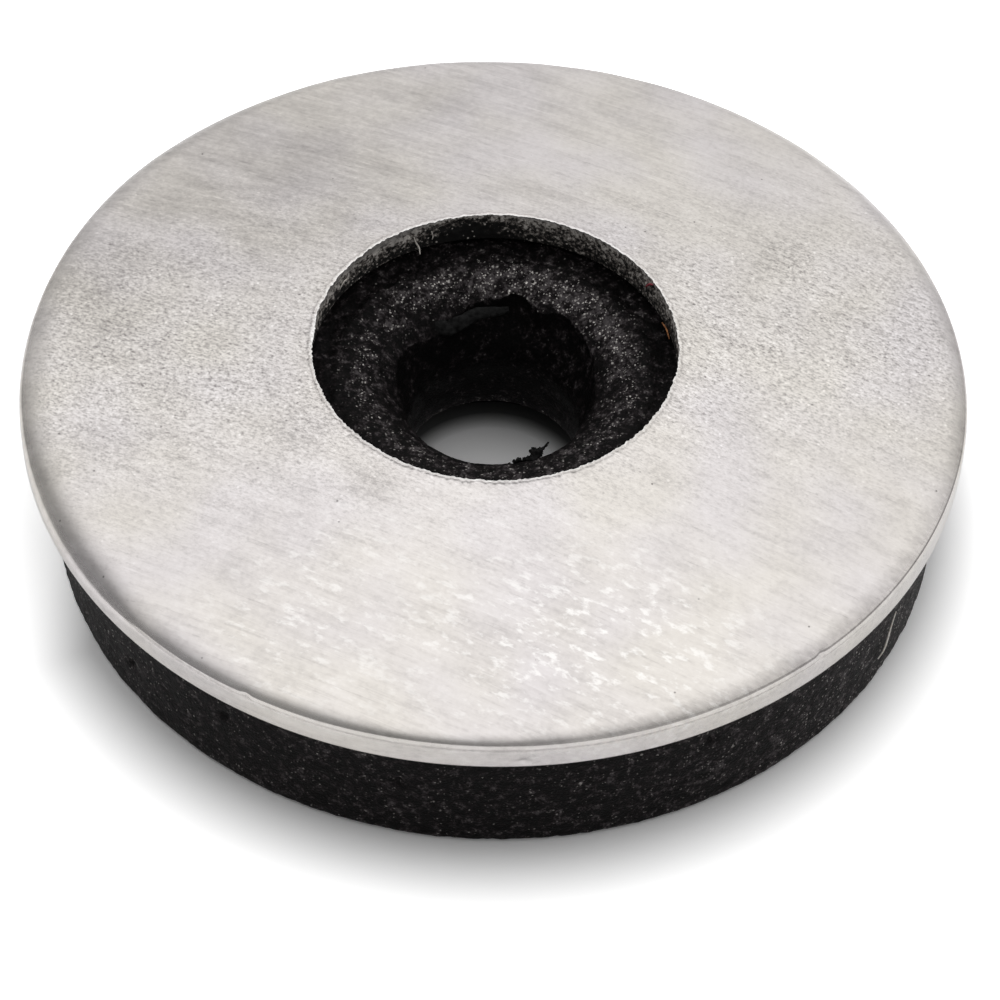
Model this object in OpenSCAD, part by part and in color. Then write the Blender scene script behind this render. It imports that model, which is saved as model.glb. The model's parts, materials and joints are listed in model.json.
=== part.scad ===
// Bonded sealing washer: a dished sheet-metal washer with a rubber ring vulcanised to its underside.
// It lies on the rubber's flat base at z = 0, and the screw passes through along Z.

/* [Metal washer] */
// Outside diameter of the metal
metal_d = 16; // [12:0.1:25]
// Diameter of the screw hole in the metal
metal_hole_d = 6.2; // [4:0.1:9]
// Thickness of the sheet, measured along the axis
metal_t = 0.6; // [0.4:0.05:1.5]
// Rise of the dished sheet from its rim to its hole
dish_rise = 0.62; // [0:0.02:1.5]
// Width of the rolled-over upper edge at the rim, measured across the face
rim_roll_w = 0.5; // [0.1:0.05:2]
// Drop of the rolled-over upper edge at the rim, measured down the sheared edge
rim_roll_h = 0.22; // [0.05:0.01:0.35]

/* [Rubber seal] */
// Height of the rubber ring at the metal's rim
seal_h = 2.39; // [1.6:0.05:5]
// Set-back of the rubber's flank from the metal's rim
seal_setback = 0.3; // [0:0.05:2]
// Rounding of the lower outer edge of the rubber
seal_edge_r = 0.12; // [0.02:0.02:0.6]
// Diameter of the throat that grips the screw
throat_d = 2.9; // [1.5:0.1:5]
// Depth of the funnel from the metal's hole down to the throat
funnel_h = 1.1; // [0.3:0.05:2]
// Diameter of the hole's mouth at the base
mouth_d = 4; // [3:0.1:8]
// Height of the flare from the base up to the throat
flare_h = 0.9; // [0.2:0.05:1.8]

/* [Hidden] */
$fn = 160;

// Flat steps in each quarter turn of a rounded profile
arc_steps = 16;

metal_r = metal_d / 2;
metal_hole_r = metal_hole_d / 2;
seal_r = metal_r - seal_setback;
throat_r = throat_d / 2;
mouth_r = mouth_d / 2;

metal_colour = "#d6d2cf";
rubber_colour = "#1e1c1c";

// Height of the bond between metal and rubber at radius r
function bond_z(r) = seal_h + dish_rise * (metal_r - r) / (metal_r - metal_hole_r);

// Angles from 0 to 90 degrees, one for each step of a rounded profile
function quarter_turn() = [for (i = [0 : arc_steps]) 90 * i / arc_steps];

// Upper edge of the sheet, rolled over from the dished face down to the sheared rim
rim_roll = [
    for (a = quarter_turn())
        let (r = metal_r - rim_roll_w * (1 - sin(a)))
            [r, bond_z(r) + metal_t - rim_roll_h * (1 - cos(a))]
];

// Lower outer edge of the rubber, from its flank round to its base
seal_edge = [
    for (a = quarter_turn())
        [seal_r - seal_edge_r * (1 - cos(a)), seal_edge_r * (1 - sin(a))]
];

// Funnel of the rubber, from the foot of the metal's hole in and down to the throat
funnel = [
    for (a = quarter_turn())
        [
            metal_hole_r - (metal_hole_r - throat_r) * sin(a),
            bond_z(metal_hole_r) - funnel_h * (1 - cos(a))
        ]
];

// Dished disc: blanked, pierced and pressed from sheet
module metal_washer() {
    color(metal_colour)
        rotate_extrude()
            polygon(concat(
                [
                    [metal_r, bond_z(metal_r)],
                    [metal_hole_r, bond_z(metal_hole_r)],
                    [metal_hole_r, bond_z(metal_hole_r) + metal_t]
                ],
                rim_roll
            ));
}

// Ring bonded to the disc, with a funnel above the throat and a flare below it
module rubber_seal() {
    color(rubber_colour)
        rotate_extrude()
            polygon(concat(
                funnel,
                [
                    [throat_r, flare_h],
                    [mouth_r, 0]
                ],
                [for (i = [arc_steps : -1 : 0]) seal_edge[i]],
                [[seal_r, bond_z(seal_r)]]
            ));
}

metal_washer();
rubber_seal();
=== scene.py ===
"""Dresses the bonded sealing washer: a dished stainless disc on a vulcanised rubber ring.

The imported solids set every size. The script adds the rolled rim, the burred hole, the grain of the
sheet, the grit and the tears of the rubber and the lint on it, then the table, light and camera.
"""

import json
import logging
import math
from dataclasses import dataclass
from enum import Enum
from functools import partial
from typing import Callable, Sequence

import bpy
from mathutils import Matrix, Vector, noise


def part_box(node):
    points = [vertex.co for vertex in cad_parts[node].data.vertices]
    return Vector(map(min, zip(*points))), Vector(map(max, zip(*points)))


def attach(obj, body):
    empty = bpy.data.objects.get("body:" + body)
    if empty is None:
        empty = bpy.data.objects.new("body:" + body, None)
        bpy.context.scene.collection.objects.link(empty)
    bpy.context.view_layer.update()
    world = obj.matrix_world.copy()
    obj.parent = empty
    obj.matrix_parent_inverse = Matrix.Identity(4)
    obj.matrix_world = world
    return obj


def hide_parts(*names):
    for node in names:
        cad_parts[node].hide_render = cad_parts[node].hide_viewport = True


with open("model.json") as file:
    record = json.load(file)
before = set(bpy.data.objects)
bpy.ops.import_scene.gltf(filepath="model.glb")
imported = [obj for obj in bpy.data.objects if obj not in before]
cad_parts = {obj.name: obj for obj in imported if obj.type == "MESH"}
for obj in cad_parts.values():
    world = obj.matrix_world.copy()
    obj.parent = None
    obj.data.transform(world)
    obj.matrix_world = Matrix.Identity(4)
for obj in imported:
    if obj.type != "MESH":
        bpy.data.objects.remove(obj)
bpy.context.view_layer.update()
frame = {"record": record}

LOG = logging.getLogger("sealing_washer")

# Everything is sized in millimetres and built in metres.
MM = 0.001

# The Mix node has several inputs of one name, so the two that take colours go by number.
MIX_FROM = 6
MIX_TO = 7

Place = tuple[float, float, float]
Span = tuple[float, float]
Stations = tuple[Span, ...]
NodeMaker = Callable[..., bpy.types.Node]


def linear(code: str) -> tuple[float, float, float, float]:
    """Turns an sRGB hex colour into linear light.

    Args:
        code: six hex digits after a hash sign.

    Returns:
        Red, green, blue and an alpha of 1.
    """
    parts = [int(code[i:i + 2], 16) / 255 for i in (1, 3, 5)]
    light = [c / 12.92 if c <= 0.04045 else ((c + 0.055) / 1.055) ** 2.4 for c in parts]
    return light[0], light[1], light[2], 1.0


def add_node(
    tree: bpy.types.NodeTree,
    kind: str,
    inputs: Sequence[object] | dict[str | int, object] = (),
    stops: dict[float, str] | None = None,
    **settings: object,
) -> bpy.types.Node:
    """Adds a shader node, sets its properties and feeds its inputs.

    Args:
        tree: the node tree that takes the node.
        kind: Blender's name for the kind of node, without its prefix.
        inputs: values, nodes or outputs for the sockets, in their order or by name or number.
        stops: the hex colours of a colour ramp by their positions.
        settings: the node's own properties.

    Returns:
        The new node.
    """
    node = tree.nodes.new("ShaderNode" + kind)
    for name, value in settings.items():
        setattr(node, name, value)
    fed = inputs if isinstance(inputs, dict) else dict(enumerate(inputs))
    for key, value in fed.items():
        if isinstance(value, bpy.types.Node):
            value = next(socket for socket in value.outputs if socket.enabled)
        if isinstance(value, bpy.types.NodeSocket):
            tree.links.new(value, node.inputs[key])
        else:
            node.inputs[key].default_value = value
    for i, (position, code) in enumerate((stops or {}).items()):
        elements = node.color_ramp.elements
        element = elements[i] if i < 2 else elements.new(position)
        element.position = position
        element.color = linear(code)
    return node


def scatter(
    add: NodeMaker, place: object, spacing: float, edge: Span, strength: float = 1.0
) -> tuple[bpy.types.Node, bpy.types.NodeSocket]:
    """Scatters soft round dots, one to a cell.

    Args:
        add: adds a node to the material.
        place: the coordinates that the cells are laid out on.
        spacing: the width of a cell in millimetres.
        edge: the shares of a cell's width at which a dot is full and at which it is gone.
        strength: the value of a full dot.

    Returns:
        The dots, and the random colour of each cell.
    """
    cells = add("TexVoronoi", {"Vector": place, "Scale": 1 / (spacing * MM)})
    return add("MapRange", [cells.outputs["Distance"], *edge, strength, 0.0]), cells.outputs["Color"]


def lumps(x: float, y: float, z: float, size: float, octaves: int = 2) -> float:
    """Gives smooth random relief.

    Args:
        x, y, z: the place in millimetres; a z of its own sets one pattern apart from another.
        size: the width of the largest lumps in millimetres.
        octaves: how many finer layers are added up.

    Returns:
        A height from about -1 to 1.
    """
    return noise.fractal(Vector((x / size, y / size, z / size)), 1.0, 2.0, octaves)


def bell(distance: float, width: float) -> float:
    """Falls smoothly from 1 at no distance to a third at one width."""
    return math.exp(-((distance / width) ** 2))


def ease(share: float) -> float:
    """Rises smoothly from 0 to 1 as share does, and stays there."""
    share = min(1.0, max(0.0, share))
    return share * share * (3 - 2 * share)


def turn_apart(a: float, b: float) -> float:
    """Gives the angle between two directions in degrees, from 0 to 180."""
    return abs((a - b + 180) % 360 - 180)


def even_steps(first: float, last: float, count: int) -> list[float]:
    """Gives count values from first up to, but not including, last."""
    return [first + (last - first) * i / count for i in range(count)]


def round_trip(stations: Stations, angle: float) -> float:
    """Reads a value that is given at some angles around the axis.

    Args:
        stations: angles in degrees, rising over one turn, each with its value.
        angle: where the value is wanted, in degrees.

    Returns:
        The value, eased between its two neighbours.
    """
    start = stations[0][0]
    angle = start + (angle - start) % 360
    closed = [*stations, (start + 360, stations[0][1])]
    for (a, value_a), (b, value_b) in zip(closed, closed[1:]):
        if angle <= b:
            return value_a + (value_b - value_a) * ease((angle - a) / (b - a))
    return stations[0][1]


def polar(deg: float, r: float, z: float) -> Vector:
    """Gives the place at an angle, a radius and a height."""
    return Vector((r * math.cos(math.radians(deg)), r * math.sin(math.radians(deg)), z))


class Zone(Enum):
    """Stretches of a turned profile that differ in relief or finish."""

    BOND = "bonded face"
    RIM = "sheared rim"
    ROLL = "rolled edge"
    FACE = "dished face"
    BURR = "burr"
    WALL = "pierced wall"
    BASE = "base"
    FLANK = "flank"
    FUNNEL = "funnel"
    THROAT = "throat"
    FLARE = "flare"


class Mask(Enum):
    """Painted attributes that a finish reads."""

    SMUDGE_AND_SHADE = "smudge"
    BURNISH = "burnish"
    LIP_HIGHLIGHT = "lip"
    GRIME_AND_SHADE = "grime"
    FROST = "frost"
    SHEAR = "shear"
    FILLER_AND_LIGHT = "filler"


@dataclass(frozen=True)
class ProfilePoint:
    """A point of a turned profile: radius and height in millimetres, or a share of its zone's run."""

    r: float
    z: float
    zone: Zone


@dataclass(frozen=True)
class Painted:
    """A vertex that masks are painted on: its profile point and its place in millimetres."""

    point: ProfilePoint
    x: float
    y: float
    z: float

    @property
    def angle(self) -> float:
        """Gives the degrees around the axis."""
        return math.degrees(math.atan2(self.y, self.x))


@dataclass(frozen=True)
class Spot:
    """A mark on the face: where it lies in millimetres, how wide it is and how strong."""

    x: float
    y: float
    width: float
    strength: float = 1.0

    def at(self, x: float, y: float) -> float:
        """Gives the mark's strength at a place."""
        return self.strength * bell(math.hypot(x - self.x, y - self.y), self.width)


@dataclass(frozen=True)
class Arc:
    """A stretch around the axis: its middle and its spread in degrees, and how strong it is."""

    deg: float
    spread: float
    strength: float = 1.0

    def at(self, angle: float) -> float:
        """Gives the stretch's strength at an angle."""
        return self.strength * bell(turn_apart(angle, self.deg), self.spread)


@dataclass(frozen=True)
class Dimple:
    """A small hollow in an upright wall: its angle in degrees and its height in millimetres."""

    deg: float
    z: float

    def apart(self, angle: float, r: float, z: float) -> float:
        """Gives the distance along the wall, in millimetres, from the hollow to a place on it."""
        return math.hypot(math.radians(turn_apart(angle, self.deg)) * r, z - self.z)


@dataclass(frozen=True)
class Sizes:
    """Driving sizes of the washer in millimetres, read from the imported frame."""

    metal_r: float
    hole_r: float
    sheet: float
    rim_z: float
    top_z: float
    seal_r: float
    throat_r: float
    throat_low: float
    throat_high: float

    @classmethod
    def from_frame(cls) -> "Sizes":
        """Reads the boxes of the two solids and the two bores of the record.

        Returns:
            The sizes.
        """
        low, high = (Vector(corner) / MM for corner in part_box("metal_washer"))
        mounts = {mount["name"]: mount for mount in frame["record"]["mounts"]}
        hole = mounts["metal_screw_hole"]["dims"]
        throat = mounts["screw_throat"]
        middle = throat["pos_m"][2] / MM
        half = throat["dims"]["length_mm"] / 2
        return cls(
            metal_r=min(high.x, high.y, -low.x, -low.y),
            hole_r=hole["r_mm"],
            sheet=hole["length_mm"],
            rim_z=low.z,
            top_z=high.z,
            seal_r=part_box("rubber_seal")[1][0] / MM,
            throat_r=throat["dims"]["r_mm"],
            throat_low=middle - half,
            throat_high=middle + half,
        )

    def bond_z(self, r: float) -> float:
        """Gives the height of the bond between metal and rubber at radius r."""
        rise = self.top_z - self.sheet - self.rim_z
        return self.rim_z + rise * (self.metal_r - r) / (self.metal_r - self.hole_r)


def mesh_object(
    name: str, points: Sequence[Sequence[float]], faces: Sequence[Sequence[int]]
) -> bpy.types.Object:
    """Makes a smooth mesh object in the scene.

    Args:
        name: the object's name.
        points: vertices in metres.
        faces: vertex numbers of each face.

    Returns:
        The new object.
    """
    mesh = bpy.data.meshes.new(name)
    mesh.from_pydata(points, [], faces)
    mesh.polygons.foreach_set("use_smooth", [True] * len(mesh.polygons))
    mesh.update()
    obj = bpy.data.objects.new(name, mesh)
    bpy.context.scene.collection.objects.link(obj)
    return obj


def turned_mesh(
    name: str,
    profile: Sequence[ProfilePoint],
    segments: int,
    relief: Callable[[ProfilePoint, float], Span],
    masks: dict[Mask, Callable[[Painted], float]],
    sharp_deg: float,
) -> bpy.types.Object:
    """Turns a closed profile about Z into a mesh with relief and painted masks.

    Args:
        name: the object's name.
        profile: the points of the closed outline, in order.
        segments: steps around the axis.
        relief: gives the radius and height of a profile point at an angle in degrees.
        masks: gives each painted attribute at a vertex.
        sharp_deg: edges that turn by more than this stay sharp.

    Returns:
        The new object.
    """
    points: list[Place] = []
    painted: dict[Mask, list[float]] = {mask: [] for mask in masks}
    for angle in even_steps(0.0, 360.0, segments):
        cos_a, sin_a = math.cos(math.radians(angle)), math.sin(math.radians(angle))
        for point in profile:
            r, z = relief(point, angle)
            at = Painted(point, r * cos_a, r * sin_a, z)
            points.append((at.x * MM, at.y * MM, at.z * MM))
            for mask, paint in masks.items():
                painted[mask].append(paint(at))
    rows = len(profile)
    faces = []
    for step in range(segments):
        here, there = step * rows, (step + 1) % segments * rows
        for row in range(rows):
            after = (row + 1) % rows
            faces.append((here + row, there + row, there + after, here + after))
    obj = mesh_object(name, points, faces)
    obj.data.set_sharp_from_angle(angle=math.radians(sharp_deg))
    for mask, values in painted.items():
        layer = obj.data.attributes.new(mask.value, "FLOAT", "POINT")
        layer.data.foreach_set("value", values)
    return obj


def smooth_path(points: Sequence[Vector], steps: int) -> list[Vector]:
    """Runs a Catmull-Rom curve through points.

    Args:
        points: the places that the curve passes.
        steps: how many samples each stretch has.

    Returns:
        Samples along the curve, both ends included.
    """
    ends = [2 * points[0] - points[1], *points, 2 * points[-1] - points[-2]]
    path = []
    for a, b, c, d in zip(ends, ends[1:], ends[2:], ends[3:]):
        for t in even_steps(0.0, 1.0, steps):
            bend = (2 * a - 5 * b + 4 * c - d) * t**2 + (3 * b - a - 3 * c + d) * t**3
            path.append(0.5 * (2 * b + (c - a) * t + bend))
    path.append(points[-1].copy())
    return path


def swept_mesh(
    name: str,
    path: Sequence[Vector],
    section: Callable[[float, int], Span],
    sides: int,
    wide_towards: Callable[[Vector], Vector],
) -> bpy.types.Object:
    """Sweeps an oval section along a path and closes both ends.

    Args:
        name: the object's name.
        path: the middle line in millimetres.
        section: gives the half width and half thickness at a share of the length and a side's number.
        sides: points around the section.
        wide_towards: gives the direction in which the section is wide, at a place on the path.

    Returns:
        The new object.
    """
    points: list[Vector] = []
    last = len(path) - 1
    for i, middle in enumerate(path):
        along = (path[min(i + 1, last)] - path[max(i - 1, 0)]).normalized()
        wide = wide_towards(middle)
        wide = (wide - along * wide.dot(along)).normalized()
        thick = along.cross(wide)
        for side in range(sides):
            turn = 2 * math.pi * side / sides
            half_w, half_t = section(i / last, side)
            across = wide * (half_w * math.cos(turn))
            up = thick * (half_t * math.sin(turn))
            points.append((middle + across + up) * MM)
    faces: list[Sequence[int]] = []
    for i in range(last):
        low, high = i * sides, (i + 1) * sides
        for side in range(sides):
            after = (side + 1) % sides
            faces.append((low + side, low + after, high + after, high + side))
    faces.append(tuple(reversed(range(sides))))
    faces.append(tuple(last * sides + side for side in range(sides)))
    return mesh_object(name, points, faces)


class Finish:
    """A finish that lays its nodes out in a material of its own."""

    name: str

    def build(self) -> bpy.types.Material:
        """Makes the material.

        Returns:
            The material.
        """
        material = bpy.data.materials.new(self.name)
        material.use_nodes = True
        material.node_tree.nodes.clear()
        add = partial(add_node, material.node_tree)
        add("OutputMaterial", {"Surface": self.surface(add)})
        return material

    def surface(self, add: NodeMaker) -> bpy.types.Node:
        """Lays out the nodes and gives the last one."""
        raise NotImplementedError


@dataclass(frozen=True)
class ColdRolledStainless(Finish):
    """Cold-rolled stainless sheet, tumbled after blanking.

    Rolling leaves faint streaks and bands that run one way across the pale grey face, tumbling frosts it
    with tiny dents and pits, and the pierced wall keeps a smear of black rubber and dust. Painted shade
    darkens the back left of the face and the foot of the wall, and a painted highlight runs along the burr.
    A rolled pattern has a length and a width in millimetres, a noise its detail and roughness, a gain a
    factor and an offset, and a run the values between which a mark grows.
    """

    name: str = "stainless_steel_cold_rolled_tumbled"
    dark: str = "#8C8886"
    middle: str = "#D3CFCB"
    light: str = "#F0EDEA"
    bright: str = "#FBFAF8"
    warm: str = "#FFFEFC"
    cool: str = "#FBFAFE"
    pit: str = "#4A4644"
    wall_black: str = "#0A0908"
    wall_brown: str = "#716B66"
    wall_grey: str = "#CFCAC4"
    dust: str = "#E4DED7"
    face_roughness: float = 0.40
    shear_roughness: float = 0.24
    wall_roughness: float = 0.7
    dent_roughness: float = 0.1
    rolling_deg: float = -25.0
    scratch: Span = (2.2, 0.05)
    streak: Span = (1.0, 0.09)
    band: Span = (3.0, 0.30)
    fleck: Span = (0.30, 0.16)
    dent: Span = (0.085, 0.045)
    rolled_noise: Span = (4.0, 0.62)
    dent_noise: Span = (3.0, 0.8)
    dent_depth: float = 0.004
    dent_gain: Span = (1.6, -0.8)
    frost_gain: Span = (1.6, 0.2)
    groove_run: Span = (0.60, 0.78)
    ridge_run: Span = (0.41, 0.25)
    mottle: float = 0.11
    mottle_noise: Span = (2.0, 0.6)
    cloud: float = 1.0
    cloud_noise: Span = (4.0, 0.6)
    tint: float = 2.1
    tint_noise: Span = (1.0, 0.6)
    speck_spacing: float = 0.12
    speck_edge: Span = (0.08, 0.26)
    speck_gain: Span = (1.1, -0.45)
    pit_spacing: float = 0.42
    pit_edge: Span = (0.02, 0.06)
    pit_strength: float = 0.8
    pit_above: float = 0.55
    fleck_run: Span = (0.54, 0.65)
    fleck_strength: float = 0.5
    wall_grain: float = 0.09
    wall_noise: Span = (4.0, 0.75)
    wall_gain: Span = (5.5, -1.9)
    dust_spacing: float = 0.075
    dust_edge: Span = (0.12, 0.3)
    dust_strength: float = 0.9
    dust_above: float = 0.6
    cover_gain: float = 8.0
    tone_base: float = 0.145
    tone_of_groove: float = -0.12
    tone_of_ridge: float = 0.10
    tone_of_streak: float = 0.20
    tone_of_band: float = 0.20
    tone_of_mottle: float = 0.15
    tone_of_cloud: float = 0.20
    tone_of_smudge_and_shade: float = -0.18

    def surface(self, add: NodeMaker) -> bpy.types.Node:
        """Lays out the nodes, which read the six masks of the disc.

        Args:
            add: adds a node to the material.

        Returns:
            The shader.
        """
        place = add("TexCoord").outputs["Object"]
        masks = {
            mask: add("Attribute", attribute_name=mask.value).outputs["Fac"]
            for mask in (Mask.SMUDGE_AND_SHADE, Mask.BURNISH, Mask.LIP_HIGHLIGHT, Mask.GRIME_AND_SHADE, Mask.FROST, Mask.SHEAR)
        }

        # Most real rolling lines and dents are finer, and these are as coarse as they need to be to show.
        rolled: dict[Span, bpy.types.Node] = {}
        for size in (self.scratch, self.streak, self.band, self.fleck, self.dent):
            along = add(
                "Mapping",
                {
                    "Vector": place,
                    "Rotation": (0.0, 0.0, math.radians(self.rolling_deg)),
                    "Scale": (size[0] * MM, size[1] * MM, size[1] * MM),
                },
                vector_type="TEXTURE",
            )
            detail, rough = self.dent_noise if size == self.dent else self.rolled_noise
            feed = {"Vector": along, "Scale": 1.0, "Detail": detail, "Roughness": rough}
            rolled[size] = add("TexNoise", feed)
        even: dict[float, bpy.types.Node] = {}
        for size, (detail, rough) in (
            (self.mottle, self.mottle_noise),
            (self.cloud, self.cloud_noise),
            (self.tint, self.tint_noise),
            (self.wall_grain, self.wall_noise),
        ):
            feed = {"Vector": place, "Scale": 1 / (size * MM), "Detail": detail, "Roughness": rough}
            even[size] = add("TexNoise", feed)

        # The dents show most where the tumbling frosted the face, and in clouds.
        frost = add("Math", [even[self.cloud], *self.frost_gain], operation="MULTIPLY_ADD")
        frost = add("Math", [frost, masks[Mask.FROST]], operation="MULTIPLY")
        frosted = add("Math", [rolled[self.dent], *self.dent_gain], operation="MULTIPLY_ADD")
        speck, draw = scatter(add, place, self.speck_spacing, self.speck_edge)
        sign = add("Math", [draw, *self.speck_gain], operation="MULTIPLY_ADD")
        frosted = add("Math", [speck, sign, frosted], operation="MULTIPLY_ADD")
        frosted = add("Math", [frosted, frost], operation="MULTIPLY")

        # The tone adds up dents, scratches, streaks and clouds, and the smudges and painted shade take from
        # it.
        grooves = add("MapRange", [rolled[self.scratch], *self.groove_run])
        ridges = add("MapRange", [rolled[self.scratch], *self.ridge_run])
        tone = add("Math", [frosted, self.tone_base], operation="ADD")
        for source, weight in (
            (grooves, self.tone_of_groove),
            (ridges, self.tone_of_ridge),
            (rolled[self.streak], self.tone_of_streak),
            (rolled[self.band], self.tone_of_band),
            (even[self.mottle], self.tone_of_mottle),
            (even[self.cloud], self.tone_of_cloud),
            (masks[Mask.SMUDGE_AND_SHADE], self.tone_of_smudge_and_shade),
        ):
            tone = add("Math", [source, weight, tone], operation="MULTIPLY_ADD")
        colour = add("ValToRGB", [tone], {0.20: self.dark, 0.84: self.light, 0.52: self.middle})
        shade = add("ValToRGB", [even[self.tint]], {0.35: self.warm, 0.65: self.cool})
        colour = add(
            "Mix", {"Factor": 1.0, MIX_FROM: colour, MIX_TO: shade}, data_type="RGBA", blend_type="MULTIPLY"
        )

        # Pinhead pits, on one cell in a few.
        pits, draw = scatter(add, place, self.pit_spacing, self.pit_edge, self.pit_strength)
        chosen = add("Math", [draw, self.pit_above], operation="GREATER_THAN")
        pits = add("Math", [pits, chosen], operation="MULTIPLY")

        # Burnished flecks lie along the rolling lines, and a painted highlight runs all round the burr's
        # crest.
        fleck = add("MapRange", [rolled[self.fleck], *self.fleck_run, 0.0, self.fleck_strength])
        fleck = add("Math", [fleck, masks[Mask.BURNISH]], operation="MULTIPLY")
        fleck = add("Math", [fleck, masks[Mask.LIP_HIGHLIGHT]], operation="MAXIMUM", use_clamp=True)

        # The wall turns from dusty grey under the burr to rubber black at its foot, which is partly dirt
        # and partly painted shade where the wall meets the rubber.
        mottle = add("Math", [even[self.wall_grain], *self.wall_gain], operation="MULTIPLY_ADD")
        mottle = add("Math", [mottle, masks[Mask.GRIME_AND_SHADE]], operation="SUBTRACT", use_clamp=True)
        dirt = add("ValToRGB", [mottle], {0.08: self.wall_black, 1.0: self.wall_grey, 0.5: self.wall_brown})
        dust, draw = scatter(add, place, self.dust_spacing, self.dust_edge, self.dust_strength)
        chosen = add("Math", [draw, self.dust_above], operation="GREATER_THAN")
        dust = add("Math", [dust, chosen], operation="MULTIPLY")
        dirt = add("Mix", {"Factor": dust, MIX_FROM: dirt, MIX_TO: linear(self.dust)}, data_type="RGBA")
        cover = add("Math", [masks[Mask.GRIME_AND_SHADE], self.cover_gain], operation="MULTIPLY", use_clamp=True)
        for share, over in ((pits, linear(self.pit)), (fleck, linear(self.bright)), (cover, dirt)):
            colour = add("Mix", {"Factor": share, MIX_FROM: colour, MIX_TO: over}, data_type="RGBA")

        rough = add("MapRange", [masks[Mask.SHEAR], 0.0, 1.0, self.face_roughness, self.shear_roughness])
        rough = add("Math", [frosted, self.dent_roughness, rough], operation="MULTIPLY_ADD")
        rough = add("Mix", {"Factor": cover, "A": rough, "B": self.wall_roughness}, data_type="FLOAT")
        return add(
            "BsdfPrincipled",
            {
                "Base Color": colour,
                "Metallic": add("Math", [1.0, cover], operation="SUBTRACT"),
                "Roughness": rough,
                "Normal": add("Bump", {"Height": frosted, "Distance": self.dent_depth * MM}),
            },
        )


@dataclass(frozen=True)
class VulcanisedRubber(Finish):
    """Black EPDM rubber, vulcanised as a sheet and cut through.

    The cut shows a gritty black grain that glints where the light stands over it, with pale mineral
    filler in it; the mask of the filler also carries painted highlight on the lit brow and sides, and
    painted shade down the throat. Grit has a spacing and a radius in millimetres, and a gain a factor and
    an offset.
    """

    name: str = "epdm_rubber_vulcanised_cut"
    black: str = "#0A0909"
    brown: str = "#1C1819"
    grey: str = "#4C4849"
    filler: str = "#E6E1DC"
    roughness: Span = (0.42, 0.62)
    rough_run: Span = (0.3, 0.7)
    gloss: float = 0.05
    grain: float = 0.05
    grain_detail: float = 2.0
    clod: float = 0.17
    clod_detail: float = 4.0
    raggedness: float = 0.7
    warp: float = 0.06
    grit: Stations = ((0.05, 0.015), (0.11, 0.020), (0.25, 0.026))
    grit_edge: Span = (0.4, 1.3)
    grain_depth: float = 0.02
    shade_gain: Span = (2.5, -1.43)
    shade_of_grain: float = 1.0
    shade_of_filler_and_light: float = 0.38
    cluster_gain: Span = (5.5, -1.7)
    strength_gain: Span = (1.4, 0.10)
    fade_power: float = 1.8

    def surface(self, add: NodeMaker) -> bpy.types.Node:
        """Lays out the nodes, which read the mask of the filler.

        Args:
            add: adds a node to the material.

        Returns:
            The shader.
        """
        place = add("TexCoord").outputs["Object"]
        filler = add("Attribute", attribute_name=Mask.FILLER_AND_LIGHT.value).outputs["Fac"]
        grain, clods = (
            add(
                "TexNoise",
                {"Vector": place, "Scale": 1 / (size * MM), "Detail": detail, "Roughness": self.raggedness},
            )
            for size, detail in ((self.grain, self.grain_detail), (self.clod, self.clod_detail))
        )

        # Grains and clods shade the black, and more so where the mask of the filler is higher, which holds
        # painted highlight on the lit brow and sides and painted shade down the throat.
        shade = add("Math", [clods, *self.shade_gain], operation="MULTIPLY_ADD")
        for source, weight in ((grain, self.shade_of_grain), (filler, self.shade_of_filler_and_light)):
            shade = add("Math", [source, weight, shade], operation="MULTIPLY_ADD")
        colour = add("ValToRGB", [shade], {0.30: self.black, 0.90: self.grey, 0.55: self.brown})

        # Grains of filler in three sizes, in clusters, on a share of the cells that the mask sets; on the
        # lit brow and sides they are partly painted glints.
        share = add("Math", [clods, *self.cluster_gain], operation="MULTIPLY_ADD")
        share = add("Math", [share, filler], operation="MULTIPLY")
        strength = add("Math", [filler, *self.strength_gain], operation="MULTIPLY_ADD")
        bent = (self.warp * MM,) * 3
        warped = add("VectorMath", [grain.outputs["Color"], bent, place], operation="MULTIPLY_ADD")
        for spacing, radius in self.grit:
            full, gone = (part * radius / spacing for part in self.grit_edge)
            speck, draw = scatter(add, warped, spacing, (full, gone))
            draws = add("SeparateColor", [draw]).outputs
            chosen = add("Math", [draws[0], share], operation="LESS_THAN")
            fade = add("Math", [draws[1], self.fade_power], operation="POWER")
            for factor in (chosen, fade, strength):
                speck = add("Math", [speck, factor], operation="MULTIPLY", use_clamp=True)
            ends = {MIX_FROM: colour, MIX_TO: linear(self.filler)}
            colour = add("Mix", {"Factor": speck, **ends}, data_type="RGBA")
        return add(
            "BsdfPrincipled",
            {
                "Base Color": colour,
                "Roughness": add("MapRange", [clods, *self.rough_run, *self.roughness]),
                "Specular IOR Level": self.gloss,
                "Normal": add("Bump", {"Height": grain, "Distance": self.grain_depth * MM}),
            },
        )


@dataclass(frozen=True)
class TornRubber(Finish):
    """EPDM rubber where it tore while it was soft: a smooth, faintly shiny black skin."""

    name: str = "epdm_rubber_torn_skin"
    black: str = "#060606"
    grey: str = "#232323"
    roughness: float = 0.7
    gloss: float = 0.06
    ripple: float = 0.10
    ripple_depth: float = 0.035

    def surface(self, add: NodeMaker) -> bpy.types.Node:
        """Lays out the nodes.

        Args:
            add: adds a node to the material.

        Returns:
            The shader.
        """
        place = add("TexCoord").outputs["Object"]
        scale = 1 / (self.ripple * MM)
        ripple = add("TexNoise", {"Vector": place, "Scale": scale, "Detail": 3.0, "Roughness": 0.55})
        return add(
            "BsdfPrincipled",
            {
                "Base Color": add("ValToRGB", [ripple], {0.3: self.black, 0.7: self.grey}),
                "Roughness": self.roughness,
                "Specular IOR Level": self.gloss,
                "Normal": add("Bump", {"Height": ripple, "Distance": self.ripple_depth * MM}),
            },
        )


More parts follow.
